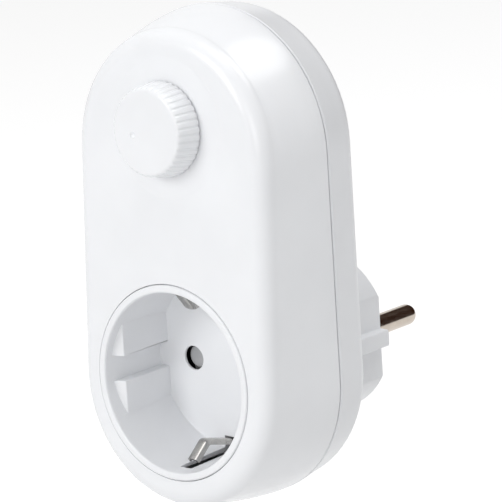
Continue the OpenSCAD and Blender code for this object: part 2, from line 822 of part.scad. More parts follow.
module triac_screw() color([0.75, 0.75, 0.77])
    on_face() translate([triac_at[0], 0, sink_low + tab_hole_rise]) {
        cyl_y(nut_d - nut_t, sink_d + sink_t + merge, bolt_r);
        cyl_y(sink_d + sink_t, sink_d + sink_t + bolt_head_t, bolt_head_r, bolt_head_r - head_chamfer);
        difference() {
            translate([0, nut_d, 0]) rotate([90, 0, 0]) cylinder(h = nut_t, r = nut_r, $fn = 6);
            cyl_y(nut_d - nut_t - eps, nut_d + eps, bolt_r + thread_gap);
        }
    }

module at_choke() {
    on_face() translate([choke_at[0], board_back_d, choke_at[1]]) children();
}

module choke_core() color([0.32, 0.33, 0.35])
    at_choke() difference() {
        cyl_y(choke_lift, choke_lift + choke_h, choke_r);
        cyl_y(0, choke_lift + choke_h + eps, choke_bore_r);
    }

module choke_winding() color([0.72, 0.36, 0.16])
    at_choke() rotate([-90, 30, 0]) difference() {
        rotate_extrude(angle = 300)
            translate([choke_bore_r - winding_t, choke_lift - winding_t])
                square([choke_r - choke_bore_r + 2 * winding_t, choke_h + 2 * winding_t]);
        translate([0, 0, choke_lift]) difference() {
            cylinder(h = choke_h, r = choke_r);
            translate([0, 0, -eps]) cylinder(h = choke_h + 2 * eps, r = choke_bore_r);
        }
    }

module mains_capacitor() color([0.85, 0.75, 0.2])
    on_face() block(cap_right - cap_size[0], cap_right, board_back_d, board_back_d + cap_size[1],
                    cap_low, cap_low + cap_size[2]);

module timing_capacitor() color([0.6, 0.15, 0.12])
    on_face() translate([film_at[0], board_back_d, film_at[1]]) cube(film_size);

// A small axial part lying along X on the back of the board, with its two leads
module axial(x, w, r, length) {
    on_face() translate([x, board_back_d + r, w]) {
        rotate([0, 90, 0]) cylinder(h = length, r = r, center = true);
        rotate([0, 90, 0]) cylinder(h = length + 2 * lead_run, r = lead_r, center = true);
        for (side = [-1, 1])
            translate([side * (length / 2 + lead_run), 0, 0]) cyl_y(-r, lead_r, lead_r);
    }
}

module resistors() color([0.55, 0.7, 0.8]) {
    for (low = AXIAL_LOW)
        axial(AXIAL_X[1], low, resistor_r, resistor_len);
    axial(AXIAL_X[0], AXIAL_LOW[1], resistor_r, resistor_len);
}

module diac() color([0.2, 0.35, 0.6]) axial(AXIAL_X[0], AXIAL_LOW[0], diac_r, diac_len);

module at_fuse() {
    on_face() translate([fuse_at[0], fuse_d, fuse_at[1]]) rotate([0, 90, 0]) children();
}

module fuse_tube() color([0.8, 0.88, 0.9, 0.6])
    at_fuse() difference() {
        cylinder(h = fuse_len - 2 * fuse_cap_len, r = fuse_glass_r, center = true);
        cylinder(h = fuse_len, r = fuse_glass_r - fuse_glass_t, center = true);
    }

module fuse_caps() color([0.82, 0.82, 0.84])
    at_fuse() {
        for (side = [-1, 1])
            translate([0, 0, side * (fuse_len - fuse_cap_len) / 2])
                cylinder(h = fuse_cap_len, r = fuse_r, center = true);
        cylinder(h = fuse_len - 2 * fuse_cap_len + 2 * merge, r = fuse_link_r, center = true);
    }

module fuse_clips() color([0.8, 0.78, 0.72])
    on_face() for (side = [-1, 1])
        translate([fuse_at[0] + side * (fuse_len - fuse_cap_len) / 2, 0, fuse_at[1]])
            difference() {
                block(-clip_half, clip_half, board_back_d, fuse_d + fuse_r + merge,
                      -fuse_r - clip_t, fuse_r + clip_t);
                translate([0, fuse_d, 0]) rotate([0, 90, 0])
                    cylinder(h = 2 * (clip_half + eps), r = fuse_r + press_gap, center = true);
                block(-clip_half - eps, clip_half + eps, fuse_d, fuse_d + 2 * fuse_r,
                      -fuse_r + clip_mouth, fuse_r - clip_mouth);
                block(-clip_half - eps, clip_half + eps, board_back_d + clip_t, fuse_d - fuse_r - clip_seat,
                      -fuse_r + merge, fuse_r - merge);
            }

// Insulated wires from the lower edge of the board to the contacts
wire_steps = 3;
LIVE_ROUTE = [[-13.5, face_y + 17.9, 26.4], [-13.5, face_y + 21, 26.2], [-13.2, face_y + 26, 23.5],
              [-11.5, -24.4, 12], [-10, -19, 8], [-9.5, -13.4, 6], [-9.5, -11.5, 1.5]];
LOAD_ROUTE = [[0.6, face_y + 17.9, 26.4], [0, face_y + 21, 26.2], [-3.2, face_y + 25.6, 23.5],
              [-4.8, -24.4, 17.5], [-4.4, -22, 11], [-3.6, -18.4, 5],
              [-4.6, tag_end_y - 0.8, 2], [-7.8, tag_end_y - 0.2, 0]];

module live_wire() color([0.45, 0.25, 0.15])
    swept_wire(smooth(LIVE_ROUTE, wire_steps), wire_r, wire_sides, [1, 0, 0]);

module load_wire() color([0.1, 0.1, 0.1])
    swept_wire(smooth(LOAD_ROUTE, wire_steps), wire_r, wire_sides, [1, 0, -1]);

module case_screws() color([0.8, 0.8, 0.82])
    at_screws() screw(rear_y - well_depth, case_screw_len);

front_shell();
rear_shell();
socket_insert();
shutter();
shutter_spring();
contact_carrier();
carrier_screws();
live_contact();
neutral_contact();
earth_strip_top();
earth_strip_bottom();
earth_link();
live_pin();
neutral_pin();
pin_retainer();
retainer_screw();
knob();
pot_shaft();
pot_housing();
pot_track();
circuit_board();
board_screws();
triac();
heatsink();
triac_screw();
choke_core();
choke_winding();
mains_capacitor();
timing_capacitor();
resistors();
diac();
fuse_tube();
fuse_caps();
fuse_clips();
live_wire();
load_wire();
case_screws();
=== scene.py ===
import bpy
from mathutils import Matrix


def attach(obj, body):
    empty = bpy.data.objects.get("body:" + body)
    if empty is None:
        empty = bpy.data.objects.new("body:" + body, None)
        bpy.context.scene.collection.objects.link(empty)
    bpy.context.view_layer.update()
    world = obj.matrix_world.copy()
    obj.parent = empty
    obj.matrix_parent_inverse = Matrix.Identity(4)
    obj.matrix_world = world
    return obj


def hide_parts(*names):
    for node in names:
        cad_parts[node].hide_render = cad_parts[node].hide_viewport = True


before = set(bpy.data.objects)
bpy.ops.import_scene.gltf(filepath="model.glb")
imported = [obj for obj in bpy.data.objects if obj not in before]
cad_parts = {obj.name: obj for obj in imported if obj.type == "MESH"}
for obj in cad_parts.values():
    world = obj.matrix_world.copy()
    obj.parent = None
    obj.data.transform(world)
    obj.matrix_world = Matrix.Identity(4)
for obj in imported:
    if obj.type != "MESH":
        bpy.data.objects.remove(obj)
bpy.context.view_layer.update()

import math

import bmesh
import bpy
from mathutils import Matrix, Vector

# ---------------------------------------------------------------------------
# Rear shell with the plug
# One glossy white moulding: an oval tray with a rounded back edge, four screw
# wells, a thin lip for the front shell, and the earthed plug in its middle.
# ---------------------------------------------------------------------------
MM = 0.001
HALF_WIDTH = 30.0
OVAL_CENTRE = 25.0
END_RISE = 25.5
BACK_Y = -19.0
JOINT_Y = -30.5
SEAM = 0.3
WALL = 2.3
REAR_DRAW = 1.0
REAR_ROUND = 4.5
LIP_SETBACK = 1.3
LIP_REACH = 1.8
SCREW_SPOTS = [(sx * 16.97, OVAL_CENTRE + sz * 42.47) for sx in (-1, 1) for sz in (-1, 1)]
PLUG_R = 18.6
PLUG_FLAT = 16.2
PLUG_BORE_R = 16.0
PLUG_BORE_FLAT = 14.6
PLUG_FLOOR_Y = -2.8
RIDGE_HALF = 1.9
PIN_X = 9.5
PIN_HOLE_R = 2.75
STRIP_GROOVE_X = 2.1
STRIP_GROOVE_Z = 17.4


def oval(setback, arc_steps=40, side_steps=10):
    """Outline of the body as (x, z), drawn in from its widest by setback."""
    r = HALF_WIDTH - setback
    points = []
    for end in (1, -1):
        start = 0 if end > 0 else math.pi
        centre = OVAL_CENTRE + end * END_RISE
        for k in range(arc_steps + 1):
            a = start + math.pi * k / arc_steps
            points.append((r * math.cos(a), centre + r * math.sin(a)))
        for k in range(1, side_steps):
            points.append((-end * r, centre - end * 2 * END_RISE * k / side_steps))
    return points


def circle(r, steps=96, x=0.0, z=0.0):
    return [(x + r * math.cos(2 * math.pi * k / steps), z + r * math.sin(2 * math.pi * k / steps))
            for k in range(steps)]


def upright(outline, y):
    return [Vector((x, y, z)) for x, z in outline]


def skin(name, rings):
    """A closed solid whose skin runs over rings of points, given in millimetres."""
    bm = bmesh.new()
    rows = [[bm.verts.new(p * MM) for p in ring] for ring in rings]
    count = len(rows[0])
    for a, b in zip(rows, rows[1:]):
        for i in range(count):
            j = (i + 1) % count
            bm.faces.new((a[i], a[j], b[j], b[i]))
    bm.faces.new(rows[0])
    bm.faces.new(rows[-1])
    bmesh.ops.recalc_face_normals(bm, faces=bm.faces)
    mesh = bpy.data.meshes.new(name)
    bm.to_mesh(mesh)
    bm.free()
    piece = bpy.data.objects.new(name, mesh)
    bpy.context.scene.collection.objects.link(piece)
    return piece


def rod(y0, y1, r, r_end=None, x=0.0, z=0.0, steps=64):
    return skin("rod", [upright(circle(r, steps, x, z), y0),
                        upright(circle(r if r_end is None else r_end, steps, x, z), y1)])


def bar(x0, x1, y0, y1, z0, z1, rounding=0.0):
    piece = skin("bar", [[Vector((x, y, z)) for x, z in ((x0, z0), (x1, z0), (x1, z1), (x0, z1))]
                         for y in (y0, y1)])
    if rounding:
        edge = piece.modifiers.new("edge", "BEVEL")
        edge.width = rounding * MM
        edge.segments = 3
        settle(piece)
    return piece


def settle(piece):
    """Writes what the modifiers make into the piece's own mesh."""
    graph = bpy.context.evaluated_depsgraph_get()
    made = bpy.data.meshes.new_from_object(piece.evaluated_get(graph))
    piece.modifiers.clear()
    piece.data = made
    return piece


def join_or_cut(piece, operation, tools):
    for tool in tools:
        step = piece.modifiers.new("step", "BOOLEAN")
        step.operation = operation
        step.solver = "EXACT"
        step.object = tool
        settle(piece)
        bpy.data.objects.remove(tool)
    return piece


def weld(piece, *tools):
    return join_or_cut(piece, "UNION", tools)


def cut(piece, *tools):
    return join_or_cut(piece, "DIFFERENCE", tools)


def keep_common(piece, *tools):
    return join_or_cut(piece, "INTERSECT", tools)


def dress(piece, name, finish, body, node, crease=35):
    """Names the piece, gives it its finish and sharp edges, and puts it in its node's place."""
    piece.name = name
    piece.data.name = name
    bm = bmesh.new()
    bm.from_mesh(piece.data)
    bmesh.ops.remove_doubles(bm, verts=bm.verts, dist=1e-7)
    bmesh.ops.dissolve_degenerate(bm, dist=1e-7, edges=bm.edges)
    for face in bm.faces:
        face.smooth = True
    for edge in bm.edges:
        edge.smooth = len(edge.link_faces) == 2 and edge.calc_face_angle(0) < math.radians(crease)
    bm.to_mesh(piece.data)
    bm.free()
    piece.data.materials.clear()
    piece.data.materials.append(finish)
    even = piece.modifiers.new("even_shading", "WEIGHTED_NORMAL")
    even.keep_sharp = True
    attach(piece, body)
    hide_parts(*([node] if isinstance(node, str) else node))
    return piece


def grain(material, size_mm, detail=3.0, stretch=(1, 1, 1)):
    """Noise fixed to the piece, with features of about size_mm."""
    nodes, links = material.node_tree.nodes, material.node_tree.links
    place = nodes.new("ShaderNodeTexCoord")
    fit = nodes.new("ShaderNodeMapping")
    fit.inputs["Scale"].default_value = [s / (size_mm * MM) for s in stretch]
    noise = nodes.new("ShaderNodeTexNoise")
    noise.inputs["Scale"].default_value = 1.0
    noise.inputs["Detail"].default_value = detail
    links.new(place.outputs["Object"], fit.inputs["Vector"])
    links.new(fit.outputs["Vector"], noise.inputs["Vector"])
    return noise


def new_finish(name, rough, metal=0.0, gloss=0.5, ior=1.5):
    material = bpy.data.materials.new(name)
    material.use_nodes = True
    shader = material.node_tree.nodes["Principled BSDF"]
    shader.inputs["Metallic"].default_value = metal
    shader.inputs["Roughness"].default_value = rough
    shader.inputs["Specular IOR Level"].default_value = gloss
    shader.inputs["IOR"].default_value = ior
    return material, shader


def vary_colour(material, shader, low, high, size_mm, stretch=(1, 1, 1)):
    """Base colour that drifts between two near tones."""
    nodes, links = material.node_tree.nodes, material.node_tree.links
    tones = nodes.new("ShaderNodeValToRGB")
    tones.color_ramp.elements[0].position = 0.35
    tones.color_ramp.elements[1].position = 0.65
    tones.color_ramp.elements[0].color = (*low, 1)
    tones.color_ramp.elements[1].color = (*high, 1)
    links.new(grain(material, size_mm, 2.0, stretch).outputs["Fac"], tones.inputs["Fac"])
    links.new(tones.outputs["Color"], shader.inputs["Base Color"])


def vary_rough(material, shader, low, high, size_mm, stretch=(1, 1, 1)):
    nodes, links = material.node_tree.nodes, material.node_tree.links
    span = nodes.new("ShaderNodeMapRange")
    span.inputs["From Min"].default_value = 0.3
    span.inputs["From Max"].default_value = 0.7
    span.inputs["To Min"].default_value = low
    span.inputs["To Max"].default_value = high
    links.new(grain(material, size_mm, 3.0, stretch).outputs["Fac"], span.inputs["Value"])
    links.new(span.outputs["Result"], shader.inputs["Roughness"])


def raise_grain(material, shader, size_mm, height_mm, strength=1.0, stretch=(1, 1, 1)):
    nodes, links = material.node_tree.nodes, material.node_tree.links
    bump = nodes.new("ShaderNodeBump")
    bump.inputs["Strength"].default_value = strength
    bump.inputs["Distance"].default_value = height_mm * MM
    links.new(grain(material, size_mm, 2.0, stretch).outputs["Fac"], bump.inputs["Height"])
    links.new(bump.outputs["Normal"], shader.inputs["Normal"])


def gloss_moulding(name, low, high, rough_low, rough_high):
    """Glossy moulded plastic: a faint drift of tone, uneven polish and slight sink in the surface."""
    material, shader = new_finish(name, rough_low)
    vary_colour(material, shader, low, high, 14.0)
    vary_rough(material, shader, rough_low, rough_high, 9.0)
    raise_grain(material, shader, 7.0, 0.006, 0.35)
    shader.inputs["Subsurface Weight"].default_value = 0.08
    shader.inputs["Subsurface Radius"].default_value = (1.0, 0.95, 0.9)
    shader.inputs["Subsurface Scale"].default_value = 0.6 * MM
    return material


def rear_outer():
    rings = [upright(oval(0.25), JOINT_Y + SEAM / 2), upright(oval(0.0), JOINT_Y + SEAM / 2 + 0.25)]
    rings += [upright(oval(REAR_DRAW * t), JOINT_Y + 0.4 + t * (BACK_Y - REAR_ROUND - JOINT_Y - 0.4))
              for t in (0.33, 0.67)]
    for k in range(11):
        a = math.radians(9 * k)
        rings.append(upright(oval(REAR_DRAW + REAR_ROUND * (1 - math.cos(a))),
                             BACK_Y - REAR_ROUND * (1 - math.sin(a))))
    return skin("rear", rings)


def rear_hollow():
    front = JOINT_Y - LIP_REACH - 0.5
    return skin("hollow", [upright(oval(WALL), front),
                           upright(oval(REAR_DRAW + WALL), BACK_Y - REAR_ROUND),
                           upright(oval(REAR_DRAW + REAR_ROUND - 0.9), BACK_Y - WALL - 0.8),
                           upright(oval(REAR_DRAW + REAR_ROUND + 0.3), BACK_Y - WALL)])


def plug_outline():
    """Round plug with a flat on each side and a guide ridge on each flat."""
    points = []
    corner = math.asin(PLUG_FLAT / PLUG_R)
    ridge = math.asin(RIDGE_HALF / PLUG_R)
    for side in (1, -1):
        for k in range(49):
            a = -corner + 2 * corner * k / 48
            points.append((side * PLUG_R * math.sin(a), side * PLUG_R * math.cos(a)))
        points.append((side * PLUG_FLAT, side * RIDGE_HALF))
        for k in range(5):
            a = ridge - 2 * ridge * k / 4
            points.append((side * PLUG_R * math.cos(a), side * PLUG_R * math.sin(a)))
        points.append((side * PLUG_FLAT, -side * RIDGE_HALF))
    return points


rear = weld(rear_outer(),
            skin("lip", [upright(oval(LIP_SETBACK + 0.3), JOINT_Y - LIP_REACH),
                         upright(oval(LIP_SETBACK), JOINT_Y - LIP_REACH + 0.3),
                         upright(oval(LIP_SETBACK), JOINT_Y + 1.0)]))
cut(rear, rear_hollow())
plug = skin("plug", [upright(plug_outline(), BACK_Y - WALL), upright(plug_outline(), 0.0)])
plug_edge = plug.modifiers.new("edge", "BEVEL")
plug_edge.width = 0.35 * MM
plug_edge.segments = 3
plug_edge.limit_method = "ANGLE"
plug_edge.angle_limit = math.radians(45)
weld(rear, settle(plug))
weld(rear, *[rod(BACK_Y - 9.5, BACK_Y - 1.6, 3.7, x=x, z=z) for x, z in SCREW_SPOTS])
bore = keep_common(rod(BACK_Y - WALL - 0.5, PLUG_FLOOR_Y, PLUG_BORE_R),
                   bar(-PLUG_BORE_FLAT, PLUG_BORE_FLAT, BACK_Y - 5, 0, -PLUG_R, PLUG_R))
cut(rear, cut(bore, rod(-4.8, 0, 2.6)))
cut(rear, rod(-5.3, -2.0, 1.1, steps=24))
cut(rear, *[rod(-3.3, 0.5, PIN_HOLE_R, x=side * PIN_X) for side in (-1, 1)])
for side in (-1, 1):
    for y0, y1, z0, z1 in ((BACK_Y - 3, BACK_Y + 0.5, STRIP_GROOVE_Z, 18.4),
                           (BACK_Y, -0.9, STRIP_GROOVE_Z, 20.0), (PLUG_FLOOR_Y, -0.9, 16.0, 18.4)):
        cut(rear, bar(-STRIP_GROOVE_X, STRIP_GROOVE_X, y0, y1, *sorted((side * z0, side * z1))))
for x, z in SCREW_SPOTS:
    cut(rear, rod(BACK_Y - 7.5, BACK_Y + 0.5, 2.6, x=x, z=z), rod(BACK_Y - 10, BACK_Y, 1.3, x=x, z=z, steps=24))
# The rear shell's white is a little darker than the front shell's: painted shade for the dimmer light on the back of
# the body.
rear_white_painted_shade = gloss_moulding("rear_white_painted_shade", (0.80, 0.81, 0.83), (0.82, 0.83, 0.85), 0.285, 0.34)
dress(rear, "rear_moulding", rear_white_painted_shade, "housing", "rear_shell")

# ---------------------------------------------------------------------------
# Contact pins
# Two brass pins turned with a collar and a round nose, then nickel-plated and
# polished. The collar sits on the plug's floor from inside.
# ---------------------------------------------------------------------------
PIN_R = 2.4
PIN_TIP_Y = 19.0
COLLAR_R = 3.4
LAND_R = 2.7
SHANK_R = 2.1


def turned(name, profile, x=0.0, z=0.0, steps=64):
    """A turned piece along Y, from (y, radius) pairs."""
    return skin(name, [upright(circle(r, steps, x, z), y) for y, r in profile])


nickel, nickel_shader = new_finish("polished_nickel", 0.16, metal=1.0)
vary_colour(nickel, nickel_shader, (0.50, 0.44, 0.38), (0.56, 0.50, 0.44), 3.0)
vary_rough(nickel, nickel_shader, 0.12, 0.24, 0.8, stretch=(6, 1, 6))
raise_grain(nickel, nickel_shader, 0.25, 0.001, 0.5, stretch=(1, 8, 1))
for node, side, tail_y in (("live_pin", -1, -10.5), ("neutral_pin", 1, -15.6)):
    profile = [(tail_y, SHANK_R - 0.3), (tail_y + 0.3, SHANK_R), (-4.8, SHANK_R), (-4.8, COLLAR_R - 0.2),
               (-4.6, COLLAR_R), (-3.0, COLLAR_R), (-2.8, COLLAR_R - 0.2), (-2.8, LAND_R), (0, LAND_R),
               (0, PIN_R), (PIN_TIP_Y - PIN_R, PIN_R)]
    profile += [(PIN_TIP_Y - PIN_R * (1 - math.sin(math.radians(a))), PIN_R * math.cos(math.radians(a)))
                for a in range(8, 89, 8)]
    dress(turned(node, profile, side * PIN_X), node + "_turned", nickel, "housing", node)


def coat_node(node, finish):
    """A CAD piece whose shape is right keeps its place and takes this finish."""
    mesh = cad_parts[node].data
    mesh.materials.clear()
    mesh.materials.append(finish)


# ---------------------------------------------------------------------------
# Pin retainer and its screw
# A black moulded bar that holds both pin collars down, fixed by one screw of
# bright zinc-plated steel in the middle of the plug's floor.
# ---------------------------------------------------------------------------
black_moulding, black_shader = new_finish("black_moulding", 0.5)
vary_colour(black_moulding, black_shader, (0.022, 0.022, 0.025), (0.035, 0.035, 0.038), 4.0)
raise_grain(black_moulding, black_shader, 0.3, 0.01, 0.7)
coat_node("pin_retainer", black_moulding)

bright_zinc, zinc_shader = new_finish("bright_zinc", 0.3, metal=1.0)
vary_colour(bright_zinc, zinc_shader, (0.60, 0.62, 0.66), (0.68, 0.69, 0.70), 1.2)
vary_rough(bright_zinc, zinc_shader, 0.24, 0.4, 0.4)
for node in ("retainer_screw", "carrier_screws", "board_screws", "triac_screw", "case_screws"):
    coat_node(node, bright_zinc)

# ---------------------------------------------------------------------------
# Earth strips and their link
# Springy nickel-plated strip. Each one is folded into a clip at the socket end,
# where its edges are turned down, and runs straight back into a groove of the
# plug. The two clips have taken slightly different bends.
# ---------------------------------------------------------------------------
FACE_Y = -52.0
STRIP_HALF = 1.9
STRIP_T = 0.8
STRIP_Z = 17.9
NARROW_END_Y = -31.1
CLIP_HALF = 1.42
CLIP_T = 0.45
CLIP_EDGE = 1.3
STRIP_RUN = [(-31.4, STRIP_Z), (-30.8, STRIP_Z), (-2.6, STRIP_Z), (-1.3, 16.8)]
TOP_CLIP = [(FACE_Y + 3.9, 19.4), (FACE_Y + 7.4, 15.1), (FACE_Y + 16.9, 17.5), (FACE_Y + 18.1, STRIP_Z)]
BOTTOM_CLIP = [(FACE_Y + 4.7, 18.8), (FACE_Y + 8.9, 15.3), (FACE_Y + 16.9, 17.4), (FACE_Y + 18.1, STRIP_Z)]


def rounded_route(route, radius, steps=6):
    """The route with each bend turned into a short curve."""
    points = [Vector(route[0])]
    for a, b, c in zip(route, route[1:], route[2:]):
        a, b, c = Vector(a), Vector(b), Vector(c)
        reach = min(radius, (a - b).length / 2.2, (c - b).length / 2.2)
        start, end = b + (a - b).normalized() * reach, b + (c - b).normalized() * reach
        points += [start.lerp(b, k / steps).lerp(b.lerp(end, k / steps), k / steps)
                   for k in range(steps + 1)]
    return points + [Vector(route[-1])]


def strip_section(half, thickness, edge):
    """Half width and height of the strip's section, its edges turned down as far as edge."""
    right = [(0.35 * half, 0), (0.75 * half, -0.08 * edge), (0.95 * half, -0.3 * edge), (half, -edge),
             (half - thickness, -edge), (half - thickness, -0.3 * edge - thickness), (0.4 * half, -thickness)]
    return right + [(-x, h) for x, h in reversed(right)]


def bent_strip(name, route, side):
    """Strip bent along a route of (y, z): a channel at the clip, flat behind it."""
    rings = []
    last = len(route) - 1
    for k, p in enumerate(route):
        along = (route[min(k + 1, last)] - route[max(k - 1, 0)]).normalized()
        inward = Vector((along[1], -along[0])) * side
        if p[0] < NARROW_END_Y:
            section = strip_section(CLIP_HALF, CLIP_T, CLIP_EDGE)
        else:
            section = strip_section(STRIP_HALF, STRIP_T, STRIP_T + 0.02)
        rings.append([Vector((x, *(p + inward * (h + STRIP_T / 2)))) for x, h in section])
    return skin(name, rings)


strip_metal, strip_shader = new_finish("plated_strip", 0.22, metal=1.0)
vary_colour(strip_metal, strip_shader, (0.42, 0.41, 0.40), (0.50, 0.49, 0.47), 2.5)
vary_rough(strip_metal, strip_shader, 0.16, 0.30, 0.6, stretch=(8, 1, 1))
raise_grain(strip_metal, strip_shader, 0.3, 0.002, 0.5, stretch=(8, 1, 1))
for node, side, clip in (("earth_strip_top", 1, TOP_CLIP), ("earth_strip_bottom", -1, BOTTOM_CLIP)):
    route = [Vector((p[0], side * p[1])) for p in rounded_route(clip + STRIP_RUN, 0.9)]
    dress(bent_strip(node, route, side), node + "_bent", strip_metal, "housing", node, crease=50)
coat_node("earth_link", strip_metal)

# ---------------------------------------------------------------------------
# Socket insert
# White moulded cup with a flat ring at the front. Guide blocks stand left and
# right with a channel between them; the clips come through slots in its wall.
# ---------------------------------------------------------------------------
LEAN = math.radians(3.5)
RING_R = 21.8
RING_PROUD = 0.3
RING_T = 1.6
MOUTH_R = 20.1
MOUTH_ROUND = 0.4
FLOOR_R = 19.6
FLOOR_Y = -34.5
FLOOR_BACK_Y = -31.9
CARRIER_Y = -29.8
CUP_R = 21.2
BLOCK_X = 17.1
CHANNEL_HALF = 2.8
HOLE_R = 2.75
SLOT_HALF = 1.65
POST_R = 1.6
CARRIER_SCREW_AT = 11.0
POCKET_LIP = 0.6
POCKET_R = 13.2
POCKET_INNER_R = 5.6
HOLE_POCKET_R = 6.0


def leaned(outline, depth):
    """The outline on the leaning front, depth behind its face."""
    return [Vector((x, FACE_Y + depth * math.cos(LEAN) + rise * math.sin(LEAN),
                    rise * math.cos(LEAN) - depth * math.sin(LEAN))) for x, rise in outline]


def leaned_turning(name, profile, rise=0.0, steps=128):
    """A turned piece square to the leaning front, from (depth, radius) pairs."""
    return skin(name, [leaned(circle(r, steps, 0.0, rise), depth) for depth, r in profile])


ring_profile = [(RING_T, RING_R - 0.1), (0.25, RING_R)]
ring_profile += [(0.25 - 0.55 * math.sin(math.radians(a)), RING_R - 0.4 * (1 - math.cos(math.radians(a))))
                 for a in range(15, 91, 15)]
insert = leaned_turning("ring", ring_profile)
behind_ring = skin("behind_ring", [leaned([(-40, -40), (40, -40), (40, 40), (-40, 40)], depth)
                                   for depth in (RING_T / 2, 60)])
weld(insert, keep_common(rod(FACE_Y - 3, CARRIER_Y, CUP_R, steps=128), behind_ring))
weld(insert, *[bar(*sorted((side * 20.2, side * 22.4)), -41.9, -40.4, -2.5, 2.5) for side in (-1, 1)])
recess = skin("recess", [upright(circle(r, 128), y) for y, r in
                         ((FACE_Y - 3, MOUTH_R), (FLOOR_Y - 0.5, FLOOR_R), (FLOOR_Y - 0.15, FLOOR_R - 0.12),
                          (FLOOR_Y, FLOOR_R - 0.45))])
for side in (-1, 1):
    for end in (-1, 1):
        block = skin("block", [[Vector((side * x, y, z)) for x, y in ((BLOCK_X, FACE_Y + 3.2), (24, FACE_Y + 0.4),
                                                                      (24, FLOOR_Y + 2), (BLOCK_X, FLOOR_Y + 2))]
                               for z in (end * CHANNEL_HALF, end * 24)])
        edge = block.modifiers.new("edge", "BEVEL")
        edge.width = 0.3 * MM
        edge.segments = 3
        cut(recess, settle(block))
cut(insert, recess)
mouth_profile = [(-1.5, MOUTH_R + 1.2), (-RING_PROUD, MOUTH_R + MOUTH_ROUND)]
mouth_profile += [(-RING_PROUD + MOUTH_ROUND * (1 - math.cos(math.radians(a))),
                   MOUTH_R - 0.02 + MOUTH_ROUND * (1 - math.sin(math.radians(a)))) for a in range(15, 91, 15)]
cut(insert, leaned_turning("mouth", mouth_profile))
skirt = rod(FLOOR_BACK_Y, CARRIER_Y + 0.5, CUP_R - 2.2)
cut(skirt, rod(FLOOR_BACK_Y - 0.5, CARRIER_Y - 0.1, POST_R, steps=32),
    *[rod(FLOOR_BACK_Y - 0.5, CARRIER_Y, 2.1, x=side * CARRIER_SCREW_AT, z=-side * CARRIER_SCREW_AT, steps=32)
      for side in (-1, 1)])
cut(insert, skirt)
pocket = rod(FLOOR_Y + POCKET_LIP, FLOOR_BACK_Y + 0.5, POCKET_R, steps=96)
cut(pocket, rod(FLOOR_Y, FLOOR_BACK_Y + 1, POCKET_INNER_R, steps=96))
cut(insert, weld(pocket, *[rod(FLOOR_Y + POCKET_LIP, FLOOR_BACK_Y + 0.4, HOLE_POCKET_R, x=side * PIN_X)
                           for side in (-1, 1)]))
for side in (-1, 1):
    cut(insert,
        turned("hole", [(FLOOR_Y - 0.5, HOLE_R + 0.62), (FLOOR_Y + 0.12, HOLE_R), (FLOOR_BACK_Y + 0.5, HOLE_R)],
               side * PIN_X),
        rod(FLOOR_Y + 0.8, CARRIER_Y + 0.5, 1.1, x=side * CARRIER_SCREW_AT, z=-side * CARRIER_SCREW_AT, steps=24),
        bar(-SLOT_HALF, SLOT_HALF, FACE_Y + 2.4, FLOOR_BACK_Y + 0.5, *sorted((side * 16.8, side * 21.6))),
        bar(-5.5, 5.5, FACE_Y + 3.4, FLOOR_Y, *sorted((side * 20.55, side * 23))))
insert_white = gloss_moulding("insert_white", (0.84, 0.85, 0.87), (0.86, 0.87, 0.89), 0.285, 0.36)
dress(insert, "socket_insert_moulding", insert_white, "housing", "socket_insert")

# ---------------------------------------------------------------------------
# Shutter and its spring
# Matt grey plastic with two lobes that close the pin holes from behind. It
# turns on the insert's post, against a small coil of drawn steel wire.
# ---------------------------------------------------------------------------
SHUTTER_Y = -31.0
SHUTTER_T = 0.9
SHUTTER_R = 13.0
LOBE = math.radians(20)
HUB_R = 2.4
PAD_Y = -32.9
PAD_R = 2.6


def lobe_plate():
    outline = []
    for side in (0, math.pi):
        outline += [(SHUTTER_R * math.cos(side + a), SHUTTER_R * math.sin(side + a))
                    for a in (-LOBE + 2 * LOBE * k / 16 for k in range(17))]
        outline.append((HUB_R * 0.9 * math.cos(side + math.pi / 2), HUB_R * 0.9 * math.sin(side + math.pi / 2)))
    plate = skin("plate", [upright(outline, SHUTTER_Y), upright(outline, SHUTTER_Y + SHUTTER_T)])
    edge = plate.modifiers.new("edge", "BEVEL")
    edge.width = 0.18 * MM
    edge.segments = 3
    edge.limit_method = "ANGLE"
    return settle(plate)


shutter = weld(lobe_plate(), rod(-31.7, -30.1, HUB_R),
               *[turned("pad", [(PAD_Y, PAD_R - 0.25), (PAD_Y + 0.2, PAD_R), (SHUTTER_Y + 0.3, PAD_R)], side * PIN_X)
                 for side in (-1, 1)])
cut(shutter, rod(-32.5, -29, POST_R + 0.05, steps=32))
grey_moulding, grey_shader = new_finish("grey_moulding", 0.42)
vary_colour(grey_moulding, grey_shader, (0.40, 0.41, 0.42), (0.46, 0.46, 0.47), 3.0)
raise_grain(grey_moulding, grey_shader, 0.25, 0.006, 0.7)
dress(shutter, "shutter_moulding", grey_moulding, "shutter", "shutter")


def sweep(name, path, r, sides=12, across=Vector((0, 0, 1))):
    """Round wire along a path, given in millimetres."""
    rings = []
    last = len(path) - 1
    for k, p in enumerate(path):
        along = (path[min(k + 1, last)] - path[max(k - 1, 0)]).normalized()
        u = along.cross(across).normalized()
        v = along.cross(u)
        rings.append([p + r * (math.cos(2 * math.pi * i / sides) * u + math.sin(2 * math.pi * i / sides) * v)
                      for i in range(sides)])
    return skin(name, rings)


coil = [Vector((2.95 * math.cos(a), -31.72 + 0.544 * k / 72, 2.95 * math.sin(a)))
        for k, a in ((k, 2 * math.pi * 1.6 * k / 72) for k in range(73))]
spring_wire, spring_shader = new_finish("spring_wire", 0.28, metal=1.0)
vary_colour(spring_wire, spring_shader, (0.5, 0.5, 0.52), (0.6, 0.6, 0.62), 0.8)
dress(sweep("coil", coil, 0.15, 10, Vector((0, 1, 0))), "shutter_coil", spring_wire, "housing",
      "shutter_spring", crease=60)

